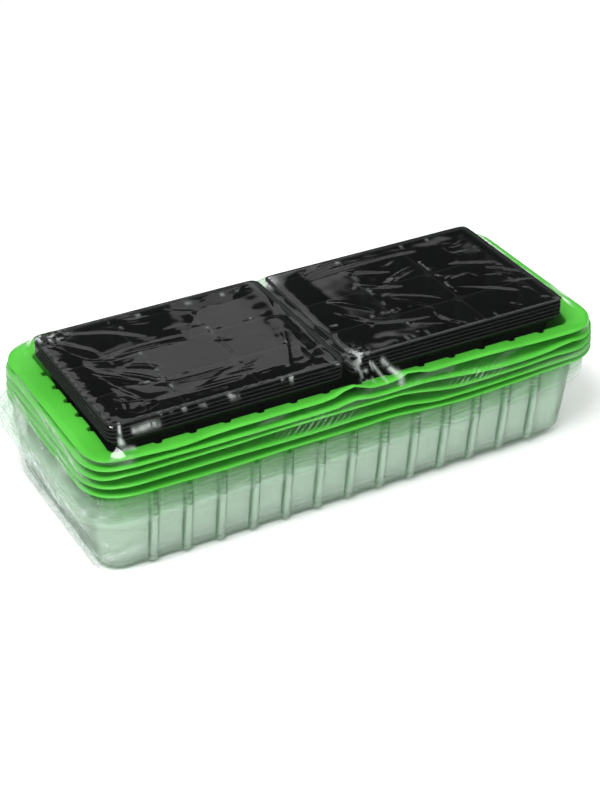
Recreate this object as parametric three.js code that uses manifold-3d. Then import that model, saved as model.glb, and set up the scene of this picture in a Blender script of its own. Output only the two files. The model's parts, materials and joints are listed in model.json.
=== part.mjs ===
// A shrink-wrapped five-pack of windowsill mini greenhouses.
// From the floor up: five clear humidity domes lie upside down in a nest, five green trays nest in
// them, and two stacks of five black nine-cell inserts stand in the top tray. Two webs of shrink
// film, welded just under the lowest dome's rim, wrap the lot.
// Millimetres, +Z up, +X along the trays. The origin is on the floor under the middle of the trays.
import * as THREE from "three";
import { mergeVertices } from "three/addons/utils/BufferGeometryUtils.js";
import Module from "manifold-3d";

// ---- driving dimensions ----
const PIECES = 5; // greenhouses in the pack, so as many domes, trays and pairs of inserts
const RIM = { x: 399, y: 181, corner: 32 }; // outer edge of a tray's or a dome's flange
const DRAFT = 0.14; // inward slope of dome and tray walls, per millimetre of depth
const FILM = 0.4; // film thickness, as modelled
const CLEARANCE = 0.3; // between the film and what it wraps
const REST = 0.1; // between a floor and what stands on it

// A corner is the radius of the wall's corners at the mouth.
const DOME = {
  depth: 43.8,
  pitch: 4.2,
  flange: 7.5,
  endFlange: 10,
  corner: 22,
  wall: 0.38,
  sheet: 0.6,
  shiftX: -6.5, // the nest of domes has slid a little along the trays
};
const TRAY = {
  depth: 47.3,
  pitch: 6.35,
  flange: 20.5,
  endFlange: 20.5,
  corner: 7,
  wall: 0.55,
  sheet: 0.8,
};
const LEAST_CORNER = 5;
const INSERT = {
  x: 173,
  y: 131,
  corner: 5.5,
  depth: 53.5,
  pitch: 3,
  flange: 3.6,
  recess: 5, // the dividers' tops lie this far under the rim
  wall: 0.3,
  sheet: 0.6,
  gap: 5, // between the left stack and the right stack
  shiftX: -4.5, // the stacks stand off the tray's centre
  shiftY: -6.4,
};
const CELL = {
  columns: 3,
  rows: 3,
  pitchX: 54,
  pitchY: 41,
  divider: 1.6, // thickness at the top
  corner: 5,
  draft: 0.16,
  drain: 5,
};

const SHORT_RIBS = { count: 5, pitch: 19.7, shift: 0 };
const DOME_LONG_RIBS = { count: 13, pitch: 24.9, shift: -0.3 };
const TRAY_LONG_RIBS = { count: 13, pitch: 24.9, shift: 3.5 };
const DOME_RIB = { foot: 7.6, depth: 2.2 };
const TRAY_RIB = { foot: 7, depth: 3.2 };

// ---- heights that follow ----
const domeBase = FILM + CLEARANCE; // the lowest dome's underside
const trayBase = domeBase + (PIECES - 1) * DOME.pitch + DOME.sheet + REST;
const insertBase = trayBase + (PIECES - 1) * TRAY.pitch + TRAY.sheet + REST;
const trayTop = trayBase + (PIECES - 1) * TRAY.pitch + TRAY.depth;
const insertTop = insertBase + (PIECES - 1) * INSERT.pitch + INSERT.depth;
const weldZ = domeBase + DOME.depth - 2.5; // the webs' weld runs just under the lowest rim
const WELD_GAP = 0.4; // between the two webs where they part
const FOOT_CORNER = 18; // corner radius of the lower web under the lowest dome

const CORNER_STEPS = 4; // straight pieces in each rounded corner
const CELL_CORNER_STEPS = 1; // the cells' corners are bevelled

const FINISH = {
  dome: { color: 0xb9d3bd, roughness: 0.12, metalness: 0, transparent: true, opacity: 0.35 },
  tray: { color: 0x52c73c, roughness: 0.38, metalness: 0 },
  insert: { color: 0x161819, roughness: 0.42, metalness: 0 },
  film: { color: 0xeaf2f0, roughness: 0.06, metalness: 0, transparent: true, opacity: 0.14 },
};

// ---- outlines: counterclockwise loops of points, seen from above ----

// The points of one side's ribs, in order: how far along the side, and how far out of it.
// Side 1 runs towards -X and side -1 towards +X, so a row's shift is turned with them.
function ribPoints(row, rib, side = 1) {
  const points = [];
  for (let i = 0; i < row.count; i++) {
    const middle = (i - (row.count - 1) / 2) * row.pitch - side * row.shift;
    points.push({ along: middle - rib.foot / 2, out: 0 });
    points.push({ along: middle, out: rib.depth });
    points.push({ along: middle + rib.foot / 2, out: 0 });
  }
  return points;
}

const NO_RIBS = { ends: [], back: [], front: [] };

const ribsOf = (endRow, longRow, rib) => ({
  ends: endRow ? ribPoints(endRow, rib) : [],
  back: ribPoints(longRow, rib, 1),
  front: ribPoints(longRow, rib, -1),
});

// A rectangle with rounded corners, and ribs standing out of its back, front and end sides.
function outline({ halfX, halfY, corner, steps = CORNER_STEPS, ribs = NO_RIBS }) {
  const sides = [
    { angle: 0, half: halfX, ribs: ribs.ends },
    { angle: Math.PI / 2, half: halfY, ribs: ribs.back },
    { angle: Math.PI, half: halfX, ribs: ribs.ends },
    { angle: -Math.PI / 2, half: halfY, ribs: ribs.front },
  ];
  const points = [];
  sides.forEach(({ angle, half, ribs: row }, i) => {
    const origin = new THREE.Vector2();
    for (const { along, out } of row)
      points.push(new THREE.Vector2(half + out, along).rotateAround(origin, angle));
    const centre = new THREE.Vector2(
      (halfX - corner) * (i === 0 || i === 3 ? 1 : -1),
      (halfY - corner) * (i < 2 ? 1 : -1),
    );
    for (let step = 0; step <= steps; step++) {
      const turn = angle + (step / steps) * (Math.PI / 2);
      points.push(new THREE.Vector2(corner, 0).rotateAround(origin, turn).add(centre));
    }
  });
  return points;
}

// ---- closed skins, put together from loops ----

class Skin {
  positions = [];

  triangle(a, b, c) {
    for (const p of [a, b, c]) this.positions.push(p.x, p.y, p.z);
  }

  // A flat face at height z inside the outer outline and outside the holes.
  face(z, up, outer, ...holes) {
    const points = [outer, ...holes].flat().map((p) => new THREE.Vector3(p.x, p.y, z));
    for (const [i, j, k] of THREE.ShapeUtils.triangulateShape(outer, holes)) {
      const [a, b, c] = [points[i], points[j], points[k]];
      const turn = (b.x - a.x) * (c.y - a.y) - (b.y - a.y) * (c.x - a.x);
      if (turn > 0 === up) this.triangle(a, b, c);
      else this.triangle(a, c, b);
    }
  }

  // The band between two outlines of as many points; it faces out where lower is under upper.
  wall(lower, lowerZ, upper, upperZ) {
    lower.forEach((p, i) => {
      const q = lower[(i + 1) % lower.length];
      const a = new THREE.Vector3(p.x, p.y, lowerZ);
      const b = new THREE.Vector3(q.x, q.y, lowerZ);
      const c = new THREE.Vector3(upper[i].x, upper[i].y, upperZ);
      const next = upper[(i + 1) % upper.length];
      const d = new THREE.Vector3(next.x, next.y, upperZ);
      this.triangle(a, b, d);
      this.triangle(a, d, c);
    });
  }

  geometry() {
    const made = new THREE.BufferGeometry();
    made.setAttribute("position", new THREE.Float32BufferAttribute(this.positions, 3));
    made.computeVertexNormals();
    return made;
  }
}

// An open tub with ribbed, sloping walls and a flat flange round its mouth. Its floor is at z = 0.
// The flange may be wider at the ends than along the sides.
function flangedTub({ depth, flange, endFlange, corner, wall, sheet }, ribs) {
  const level = (inset) =>
    outline({
      halfX: RIM.x / 2 - (endFlange - flange) - inset,
      halfY: RIM.y / 2 - inset,
      corner: Math.max(corner + flange - inset, LEAST_CORNER),
      ribs,
    });
  const fall = depth * DRAFT;
  const under = depth - sheet;
  const edge = outline({ halfX: RIM.x / 2, halfY: RIM.y / 2, corner: RIM.corner });
  const outerFoot = level(flange + fall);
  const outerTop = level(flange + sheet * DRAFT);
  const innerFoot = level(flange + wall + fall - sheet * DRAFT);
  const innerTop = level(flange + wall);
  const skin = new Skin();
  skin.face(0, false, outerFoot);
  skin.wall(outerFoot, 0, outerTop, under);
  skin.face(under, false, edge, outerTop);
  skin.wall(edge, under, edge, depth);
  skin.face(depth, true, edge, innerTop);
  skin.wall(innerTop, depth, innerFoot, sheet);
  skin.face(sheet, true, innerFoot);
  return skin.geometry();
}

// A solid between an outline at z = 0 and one at the given height.
function prism(foot, top, height) {
  const skin = new Skin();
  skin.face(0, false, foot);
  skin.wall(foot, 0, top, height);
  skin.face(height, true, top);
  return skin.geometry();
}

// ---- joining and cutting ----

const wasm = await Module();
wasm.setup();

function solidOf(geometry) {
  const bare = new THREE.BufferGeometry();
  bare.setAttribute("position", geometry.getAttribute("position"));
  bare.setIndex(geometry.index);
  const merged = mergeVertices(bare, 1e-4);
  const vertProperties = merged.attributes.position.array;
  const triVerts = new Uint32Array(merged.index.array);
  return new wasm.Manifold(new wasm.Mesh({ numProp: 3, vertProperties, triVerts }));
}

function geometryOf(solid) {
  const mesh = solid.getMesh();
  const made = new THREE.BufferGeometry();
  made.setAttribute("position", new THREE.Float32BufferAttribute(mesh.vertProperties, 3));
  made.setIndex(new THREE.BufferAttribute(mesh.triVerts, 1));
  const faceted = made.toNonIndexed();
  faceted.computeVertexNormals();
  return faceted;
}

// ---- the black nine-cell insert, with its cells' feet at z = 0 ----

const dividerTop = INSERT.depth - INSERT.recess;
const RECESS = {
  halfX: INSERT.x / 2 - INSERT.flange,
  halfY: INSERT.y / 2 - INSERT.flange,
  corner: INSERT.corner - INSERT.flange,
  mouthZ: INSERT.depth,
};
const POCKET = {
  halfX: (CELL.pitchX - CELL.divider) / 2,
  halfY: (CELL.pitchY - CELL.divider) / 2,
  corner: CELL.corner,
  steps: CELL_CORNER_STEPS,
  mouthZ: dividerTop,
};

// A tapered block from footZ to topZ. Its outline at mouthZ is the shape's, grown outwards.
function tapered({ halfX, halfY, corner, steps, mouthZ }, footZ, topZ, grow) {
  const level = (z) => {
    const out = grow - (mouthZ - z) * CELL.draft;
    return outline({ halfX: halfX + out, halfY: halfY + out, corner, steps });
  };
  return solidOf(prism(level(footZ), level(topZ), topZ - footZ)).translate([0, 0, footZ]);
}

function insertGeometry() {
  const overshoot = 2; // so that cuts run clean through a face
  const edge = outline({ halfX: INSERT.x / 2, halfY: INSERT.y / 2, corner: INSERT.corner });
  const flange = solidOf(prism(edge, edge, INSERT.sheet));
  const recessOutside = tapered(RECESS, dividerTop - INSERT.sheet, INSERT.depth, INSERT.wall);
  const recessInside = tapered(RECESS, dividerTop, INSERT.depth + overshoot, 0);
  const cellOutside = tapered(POCKET, 0, dividerTop, INSERT.wall);
  const cellInside = tapered(POCKET, INSERT.sheet, dividerTop + overshoot, 0);
  const drain = solidOf(new THREE.BoxGeometry(CELL.drain, CELL.drain, 2 * overshoot));
  let body = flange.translate([0, 0, INSERT.depth - INSERT.sheet]).add(recessOutside);
  const cuts = [recessInside];
  for (let column = 0; column < CELL.columns; column++)
    for (let row = 0; row < CELL.rows; row++) {
      const x = (column - (CELL.columns - 1) / 2) * CELL.pitchX;
      const y = (row - (CELL.rows - 1) / 2) * CELL.pitchY;
      body = body.add(cellOutside.translate([x, y, 0]));
      for (const cut of [cellInside, drain]) cuts.push(cut.translate([x, y, 0]));
    }
  for (const cut of cuts) body = body.subtract(cut);
  return geometryOf(body);
}

// ---- the shrink film ----

const moved = (points, x, y) => points.map((p) => p.clone().add(new THREE.Vector2(x, y)));

// The film's loop round the rims of the trays and of the domes beside them, or the same drawn in.
const girth = (inset) => {
  const loop = outline({
    halfX: (RIM.x + Math.abs(DOME.shiftX)) / 2 + CLEARANCE + FILM - inset,
    halfY: RIM.y / 2 + CLEARANCE + FILM - inset,
    corner: RIM.corner + CLEARANCE + FILM - inset,
  });
  return moved(loop, DOME.shiftX / 2, 0);
};

// The film's loop round the lowest dome's foot, or the same drawn in.
const footGirth = (inset) => {
  const fall = DOME.depth * DRAFT;
  const loop = outline({
    halfX: RIM.x / 2 - DOME.endFlange - fall + CLEARANCE + FILM - inset,
    halfY: RIM.y / 2 - DOME.flange - fall + DOME_RIB.depth + CLEARANCE + FILM - inset,
    corner: FOOT_CORNER - inset,
  });
  return moved(loop, DOME.shiftX, 0);
};

// The upper web: over both stacks, sloping out to the top tray's edge, then down past every rim.
function upperFilmGeometry() {
  const lid = (inset) => {
    const loop = outline({
      halfX: INSERT.x + INSERT.gap / 2 + CLEARANCE + FILM - inset,
      halfY: INSERT.y / 2 + CLEARANCE + FILM - inset,
      corner: INSERT.corner + CLEARANCE + FILM - inset,
    });
    return moved(loop, INSERT.shiftX, INSERT.shiftY);
  };
  const lidZ = insertTop + CLEARANCE + FILM;
  const shoulderZ = trayTop + CLEARANCE + FILM;
  const skin = new Skin();
  skin.wall(girth(0), weldZ + WELD_GAP, girth(0), shoulderZ);
  skin.wall(girth(0), shoulderZ, lid(0), lidZ);
  skin.face(lidZ, true, lid(0));
  skin.face(lidZ - FILM, false, lid(FILM));
  skin.wall(lid(FILM), lidZ - FILM, girth(FILM), shoulderZ - FILM);
  skin.wall(girth(FILM), shoulderZ - FILM, girth(FILM), weldZ + WELD_GAP);
  skin.face(weldZ + WELD_GAP, false, girth(0), girth(FILM));
  return skin.geometry();
}

// The lower web: a tub under and round the lowest dome, open where it meets the upper web.
function lowerFilmGeometry() {
  const skin = new Skin();
  skin.face(0, false, footGirth(0));
  skin.wall(footGirth(0), 0, girth(0), weldZ);
  skin.face(weldZ, true, girth(0), girth(FILM));
  skin.wall(girth(FILM), weldZ, footGirth(FILM), FILM);
  skin.face(FILM, true, footGirth(FILM));
  return skin.geometry();
}

// ---- the pack ----

const pack = new THREE.Group();

function place(name, geometry, finish, x, y, z) {
  const mesh = new THREE.Mesh(geometry, new THREE.MeshStandardMaterial(finish));
  mesh.name = name;
  mesh.position.set(x, y, z);
  pack.add(mesh);
}

const dome = flangedTub(DOME, ribsOf(null, DOME_LONG_RIBS, DOME_RIB));
const tray = flangedTub(TRAY, ribsOf(SHORT_RIBS, TRAY_LONG_RIBS, TRAY_RIB));
const insert = insertGeometry();

for (let i = 0; i < PIECES; i++) {
  const number = i + 1;
  place(`dome_${number}`, dome, FINISH.dome, DOME.shiftX, 0, domeBase + i * DOME.pitch);
  place(`tray_${number}`, tray, FINISH.tray, 0, 0, trayBase + i * TRAY.pitch);
  for (const [side, direction] of Object.entries({ left: -1, right: 1 })) {
    const x = INSERT.shiftX + (direction * (INSERT.x + INSERT.gap)) / 2;
    const z = insertBase + i * INSERT.pitch;
    place(`insert_${side}_${number}`, insert, FINISH.insert, x, INSERT.shiftY, z);
  }
}
place("film_upper", upperFilmGeometry(), FINISH.film, 0, 0, 0);
place("film_lower", lowerFilmGeometry(), FINISH.film, 0, 0, 0);

export default pack;
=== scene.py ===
"""A shrink-wrapped pack of mini greenhouses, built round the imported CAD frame.

Clear domes and green trays are thin formed shells lofted from one outline, the black inserts are
formed sheets of nine cells, and the film is one fine web over the pack with its creases modelled.
Lengths are millimetres here and are turned into metres as meshes are made.
"""

import json
import math

import bmesh
import bpy
import numpy as np
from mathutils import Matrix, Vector


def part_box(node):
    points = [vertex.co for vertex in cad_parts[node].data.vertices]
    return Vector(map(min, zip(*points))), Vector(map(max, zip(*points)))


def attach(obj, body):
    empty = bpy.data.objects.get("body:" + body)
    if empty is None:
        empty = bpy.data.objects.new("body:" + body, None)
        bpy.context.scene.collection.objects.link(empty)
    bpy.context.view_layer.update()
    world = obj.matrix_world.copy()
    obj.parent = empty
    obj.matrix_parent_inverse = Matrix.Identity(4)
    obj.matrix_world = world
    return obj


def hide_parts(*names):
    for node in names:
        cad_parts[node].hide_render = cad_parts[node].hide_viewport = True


MM = 0.001
PIECES = 5  # domes, trays and inserts in each stack

# ---- the frame ----

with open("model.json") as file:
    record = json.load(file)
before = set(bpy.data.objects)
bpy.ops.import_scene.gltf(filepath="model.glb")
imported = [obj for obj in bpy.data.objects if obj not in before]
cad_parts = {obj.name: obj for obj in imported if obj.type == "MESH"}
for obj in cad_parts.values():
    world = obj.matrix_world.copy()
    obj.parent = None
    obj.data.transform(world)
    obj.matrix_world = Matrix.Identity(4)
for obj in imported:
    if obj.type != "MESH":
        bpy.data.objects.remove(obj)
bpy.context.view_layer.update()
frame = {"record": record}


def frame_box(node):
    """A CAD node's lowest and highest corner, in millimetres."""
    low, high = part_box(node)
    return np.array(low) / MM, np.array(high) / MM


def middle_x(node):
    low, high = frame_box(node)
    return (low[0] + high[0]) / 2


def body_of_node(node):
    groups = frame["record"]["behaviour"]["bodies"]
    return next(body for body, nodes in groups.items() if node in nodes)


TOP_TRAY = f"tray_{PIECES}"
HALF_X, HALF_Y, TOP_RIM = frame_box(TOP_TRAY)[1]
CORNER = 32.0  # corner radius at a tray's or a dome's edge
SPINE_X, SPINE_Y = HALF_X - CORNER, HALF_Y - CORNER  # every outline is round this rectangle

DRAFT = 0.14  # inward slope of dome and tray walls
LEAST_CORNER = 5.0
RIBS_END = 157.5  # no rib reaches further along than this
# flange: its width. end_flange: its width at the ends. corner: radius of the wall's corners at the
# mouth. foot, mouth: fillets. long, short: the rows of ribs along the sides and the ends.
DOME = dict(flange=7.5, end_flange=10.0, corner=22.0, wall=0.38, sheet=0.6, foot=4.5, mouth=0.9)
DOME.update(rib_width=8.2, rib_depth=3.2, long=dict(count=13, pitch=24.9, shift=-0.3), short=None)
TRAY = dict(flange=20.5, end_flange=20.5, corner=7.0, wall=0.55, sheet=0.8, foot=3.0, mouth=1.2)
TRAY.update(rib_width=8.0, rib_depth=3.1, long=dict(count=13, pitch=24.9, shift=3.5))
TRAY.update(short=dict(count=5, pitch=19.7, shift=0.0))
RIM_FADE = 22.0  # a rim's waves die out this far below it

INSERT = dict(flange=3.6, recess=5.0, draft=0.16, sheet=0.35, corner=5.5)
LOOSE = 0.12  # how far each insert has shifted in the one below it
CELLS_EACH_WAY = 3
PITCH_X, PITCH_Y = 54.0, 41.0
DIVIDER = 1.6
HALF_CELL_X, HALF_CELL_Y = (PITCH_X - DIVIDER) / 2, (PITCH_Y - DIVIDER) / 2  # at the mouth
CELL_CORNER = 6.0
DRAIN_RADIUS, DRAIN_Z = 2.5, 0.36
TINY = 1e-6

# The two black stacks: their middle, and their edges from there.
LEFT_STACK, RIGHT_STACK = frame_box(f"insert_left_{PIECES}"), frame_box(f"insert_right_{PIECES}")
STACK_X, STACK_Y = ((LEFT_STACK[0] + RIGHT_STACK[1]) / 2)[:2]
RIGHT, BACK = ((RIGHT_STACK[1] - LEFT_STACK[0]) / 2)[:2]
LEFT, FRONT = -RIGHT, -BACK
STACK_TOP = LEFT_STACK[1][2]
GAP = RIGHT_STACK[0][0] - LEFT_STACK[1][0]

# ---- smooth steps and noise ----


def smooth(low, high, value):
    """0 at low, 1 at high, easing in between. Low may be above high."""
    t = np.clip((np.asarray(value, float) - low) / (high - low), 0, 1)
    return t * t * (3 - 2 * t)


def bump(middle, width, value):
    return np.exp(-(((value - middle) / width) ** 2))


def blend(a, b, share):
    return a * (1 - share) + b * share


def columns(*parts):
    """An array of points from their parts along each axis."""
    return np.column_stack(parts)


def lattice(ix, iy, seed):
    """A repeatable random number from -1 to 1 for each lattice point."""
    ix, iy = ix.astype(np.int64), iy.astype(np.int64)
    h = (ix * 374761393 + iy * 668265263 + seed * 982451653) & 0xFFFFFFFF
    h = ((h ^ (h >> 13)) * 1274126177) & 0xFFFFFFFF
    h = h ^ (h >> 16)
    return (h & 0xFFFF) / 32767.5 - 1


def noise(x, y, seed=0):
    """Smooth noise from -1 to 1 with features about one unit across."""
    x, y = np.broadcast_arrays(np.asarray(x, float), np.asarray(y, float))
    ix, iy = np.floor(x), np.floor(y)
    fx, fy = smooth(0, 1, x - ix), smooth(0, 1, y - iy)
    low = blend(lattice(ix, iy, seed), lattice(ix + 1, iy, seed), fx)
    high = blend(lattice(ix, iy + 1, seed), lattice(ix + 1, iy + 1, seed), fx)
    return blend(low, high, fy)


# ---- meshes ----


def place_piece(name, mesh, node, location=(0, 0, 0)):
    """Puts a mesh in a CAD node's place, riding on the node's body."""
    piece = bpy.data.objects.new(name, mesh)
    piece.location = location
    bpy.context.scene.collection.objects.link(piece)
    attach(piece, body_of_node(node))
    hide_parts(node)
    return piece


def make_piece(name, vertices, faces, material, node):
    mesh = bpy.data.meshes.new(name)
    mesh.from_pydata((np.asarray(vertices) * MM).tolist(), [], faces)
    mesh.validate()
    mesh.shade_smooth()
    mesh.materials.append(material)
    return place_piece(name, mesh, node)


def set_quality(piece, quality, values):
    """Gives a piece a number for each vertex, for its material to read."""
    attribute = piece.data.attributes.new(quality, "FLOAT", "POINT")
    attribute.data.foreach_set("value", values)


def loft_faces(rings, count, first=0):
    """Quads between rings of count points each, laid one after another."""
    faces = []
    for r in range(rings - 1):
        a, b = first + r * count, first + (r + 1) * count
        for i in range(count):
            j = (i + 1) % count
            faces.append((a + i, a + j, b + j, b + i))
    return faces


def loft(rings, cap_first=True, cap_last=True):
    count = len(rings[0])
    faces = loft_faces(len(rings), count)
    if cap_first:
        faces.append(tuple(range(count - 1, -1, -1)))
    if cap_last:
        last = (len(rings) - 1) * count
        faces.append(tuple(range(last, last + count)))
    return np.vstack(rings), faces


# ---- domes and trays: shells round one spine ----


def side_stations(half, row, rib_width, towards):
    """Places along a side, from end to end, and how far up a rib's profile each is.
    towards is 1 where the side runs towards +X and -1 where it runs back."""
    if row is None:
        along = np.linspace(-half, half, 22)
        return along, np.zeros_like(along)
    places, rises = [-half], [0.0]
    profile = [(-0.5, 0), (-0.42, 0.06), (-0.33, 0.5), (-0.24, 0.94), (-0.12, 1), (0, 1)]
    profile += [(-x, h) for x, h in profile[-2::-1]]
    for i in range(row["count"]):
        middle = (i - (row["count"] - 1) / 2) * row["pitch"] + towards * row["shift"]
        for share, rise in profile:
            places.append(middle + share * rib_width)
            rises.append(rise)
        places.append(middle + row["pitch"] / 2)
        rises.append(0.0)
    places[-1] = half
    return np.array(places), np.array(rises)


def spine_loop(rib_width, long_row, short_row, corner_steps=12):
    """Points round the spine: place on it, outward direction, rise of the rib there, and the signs
    of x and y at a corner (0 along the sides)."""
    spine, outward, rises, corners = [], [], [], []
    ends, sides = (SPINE_X, SPINE_Y, short_row), (SPINE_Y, SPINE_X, long_row)
    for quarter, towards in enumerate((1, -1, -1, 1)):
        away, half, row = sides if quarter % 2 else ends
        angle = quarter * math.pi / 2
        turn = np.array([[math.cos(angle), -math.sin(angle)], [math.sin(angle), math.cos(angle)]])
        along, rise = side_stations(half, row, rib_width, towards)
        for a, r in zip(along, rise):
            spine.append(turn @ (away, a))
            outward.append(turn @ (1.0, 0.0))
            rises.append(r)
            corners.append((0.0, 0.0))
        for step in range(1, corner_steps):
            t = step / corner_steps * math.pi / 2
            spine.append(turn @ (away, half))
            outward.append(turn @ (math.cos(t), math.sin(t)))
            rises.append(0.0)
            corners.append(np.sign(turn @ (1.0, 1.0)))
    return np.array(spine), np.array(outward), np.array(rises), np.array(corners)


def outline_at(loop, shape, inset, rib_share):
    """The shell's outline at some inset. The wall's corners are sharper than the rim's."""
    spine, outward, rises, corners = loop
    flange = shape["flange"]
    if inset < flange:
        radius = CORNER + (shape["corner"] - CORNER) * inset / flange
    else:
        radius = max(shape["corner"] + flange - inset, LEAST_CORNER)
    is_corner = np.abs(corners[:, :1])
    straight = CORNER - inset + rises[:, None] * rib_share * shape["rib_depth"]
    reach = straight * (1 - is_corner) + radius * is_corner
    outline = ends_in(spine, end_draw(shape, inset)) + outward * reach
    return outline + corners * (CORNER - inset - radius)


def end_draw(shape, inset):
    """How much further in the outline lies at the ends than along the sides."""
    return (shape["end_flange"] - shape["flange"]) * min(inset / shape["flange"], 1)


def ends_in(spine, draw):
    """The spine with its ends drawn in, and its ribbed part left where it is."""
    x = np.abs(spine[:, 0])
    past = np.maximum(x - RIBS_END, 0)
    drawn = np.minimum(x, RIBS_END) + past * (SPINE_X - draw - RIBS_END) / (SPINE_X - RIBS_END)
    return columns(np.sign(spine[:, 0]) * drawn, spine[:, 1])


def fillet(corner, before, after, radius, steps=4):
    """Rows (inset, z, 1) rounding a profile's corner between two directions."""
    corner, before, after = (np.array(v, float) for v in (corner, before, after))
    start = corner + (before - corner) / np.linalg.norm(before - corner) * radius
    end = corner + (after - corner) / np.linalg.norm(after - corner) * radius
    t = np.linspace(0, 1, steps + 1)[:, None]
    curve = (1 - t) ** 2 * start + 2 * t * (1 - t) * corner + t * t * end
    return [(inset, z, 1) for inset, z in curve]


def shell_profile(depth, shape):
    """The shell's section from the middle of its underside round to the middle of its inside,
    as (inset from the edge, z, share of the rib)."""
    flange, wall, sheet = shape["flange"], shape["wall"], shape["sheet"]
    fall = depth * DRAFT
    floor_edge = flange + fall + shape["foot"] + 2
    mouth_end = flange + sheet * DRAFT - shape["mouth"]

    def face(foot, mouth):
        """One face of the sheet, from the middle of the floor to near the edge."""
        floor_z, flange_z = foot[1], mouth[1]
        rows = [(floor_edge + 3, floor_z, 0), (floor_edge, floor_z, 0)]
        rows += fillet(foot, (floor_edge, floor_z), mouth, shape["foot"])
        rows += [(*blend(np.array(foot), np.array(mouth), t), 1) for t in (0.35, 0.65)]
        rows += fillet(mouth, foot, (0, flange_z), shape["mouth"], 3)
        return rows + [(mouth_end * (1 - t), flange_z, 0) for t in (0.35, 0.7)]

    outside = face((flange + fall, 0), (flange + sheet * DRAFT, depth - sheet))
    inside = face((flange + wall + fall - sheet * DRAFT, sheet), (flange + wall, depth))
    edge = [(0.15, depth - sheet, 0), (0, depth - sheet * 0.75, 0)]
    edge += [(0, depth - sheet * 0.25, 0), (0.15, depth, 0)]
    return outside + edge + inside[::-1]


def formed_shell(name, kind, number, shape, material, lift):
    """One dome or tray. lift(x, y, share) raises the rim: share is 1 at the rim and 0 low down."""
    node = f"{kind}_{number}"
    low, high = frame_box(node)
    depth = high[2] - low[2]
    loop = spine_loop(shape["rib_width"], shape["long"], shape["short"])
    rib_foot = np.interp(loop[2], (0, 0.06, 0.5, 0.9), (0, 1, 0.45, 0))
    rings, rib_foot_shade = [], []
    for inset, z, rib_share in shell_profile(depth, shape):
        # share of each rib's foot, where the dome's material paints shade
        rib_foot_shade.append(rib_foot * rib_share)
        inset += rim_drawn(node) * (1 - smooth(0, shape["flange"], inset))
        x, y = outline_at(loop, shape, inset, rib_share).T
        x = x + middle_x(node)
        rise = lift(x, y, smooth(depth - RIM_FADE, depth - 2, z))
        rings.append(columns(x, y, low[2] + z + rise))
    vertices, faces = loft(rings)
    piece = make_piece(f"{name}_{number}", vertices, faces, material, node)
    set_quality(piece, "rib_foot_shade", np.concatenate(rib_foot_shade))


# How the film has pulled the trays' front rims about, lowest tray first: height of the left part and
# of the right part, between which places it changes, and waves (middle, width, height).
FRONT_RIMS = [
    (1.5, -0.8, (35, 85), [(18, 14, 1.2)]),
    (2.2, -2.2, (25, 60), [(-4, 22, 1.0)]),
    (5.2, -2.4, (20, 75), [(150, 14, 1.0)]),
    (3.1, -3.2, (30, 118), [(-9, 11, 2.4), (166, 14, 3.0)]),
    (2.9, 0.6, (70, 160), [(-137, 20, -2.0), (-11, 11, 6.0), (35, 9, 4.4)]),
]
INNER_DIP = 3.0  # how far the top tray's flange slopes down to its mouth along the front
DRAWN_IN = (0.0, 0.2, 0.5, 1.0, 3.0)  # how far each tray's edge is drawn in, lowest tray first


def tray_lift(number):
    """Lift of a tray's rim: broad along the front, with sharper waves near the edge."""
    left, right, change, waves = FRONT_RIMS[number - 1]

    def lift(x, y, share):
        broad = blend(left, right, smooth(*change, x))
        sharp = sum(height * bump(middle, width, x) for middle, width, height in waves)
        ends = smooth(-196, -172, x) * smooth(196, 172, x)
        wave = broad * smooth(-62, -86, y) * ends + sharp * smooth(-66, -89, y)
        wave = wave + 0.7 * noise(x / 55 + 7 * number, y / 50, 3) * (1 if number < PIECES else 0.4)
        if number == PIECES:
            wave = wave - INNER_DIP * smooth(-86, -73, y) * smooth(-55, -62, y) * ends
        return wave * share + rim_bow(1 - number / PIECES, x) * share

    return lift


def dome_lift(number):
    """Lift of a dome: the film has bowed it up at the right end, and its rim is a little uneven."""

    def lift(x, y, share):
        wave = 0.35 * noise(x / 60 + 5 * number, y / 60, 11) + rim_bow(1, x)
        return dome_bow(number, x) + wave * share

    return lift


def rim_bow(place, x):
    """How far the rims are squeezed upwards at the right end. place is 0 at the top rim and 1 at
    the lowest tray's and below."""
    return 5.0 * place * smooth(70, 190, x)


def dome_bow(number, x):
    """How far the lower domes are bowed up whole, towards the right end."""
    return 0.975 * (PIECES - number) * smooth(-110, 230, x)


# ---- inserts: one formed sheet of nine cells ----


def rounded_loop(centre, half_x, half_y, radius, side_steps=4, corner_steps=6):
    """Points round a rounded rectangle, anticlockwise from its right front corner."""
    arcs = []
    for quarter, (side_x, side_y) in enumerate(((1, -1), (1, 1), (-1, 1), (-1, -1))):
        t = (np.arange(corner_steps + 1) / corner_steps + quarter - 1) * math.pi / 2
        middle = np.add(centre, (side_x * (half_x - radius), side_y * (half_y - radius)))
        arcs.append(middle + radius * columns(np.cos(t), np.sin(t)))
    t = np.arange(1, side_steps)[:, None] / side_steps
    points = []
    for arc, following in zip(arcs, arcs[1:] + arcs[:1]):
        points += [arc, blend(arc[-1], following[0], t)]
    return np.vstack(points)


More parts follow.
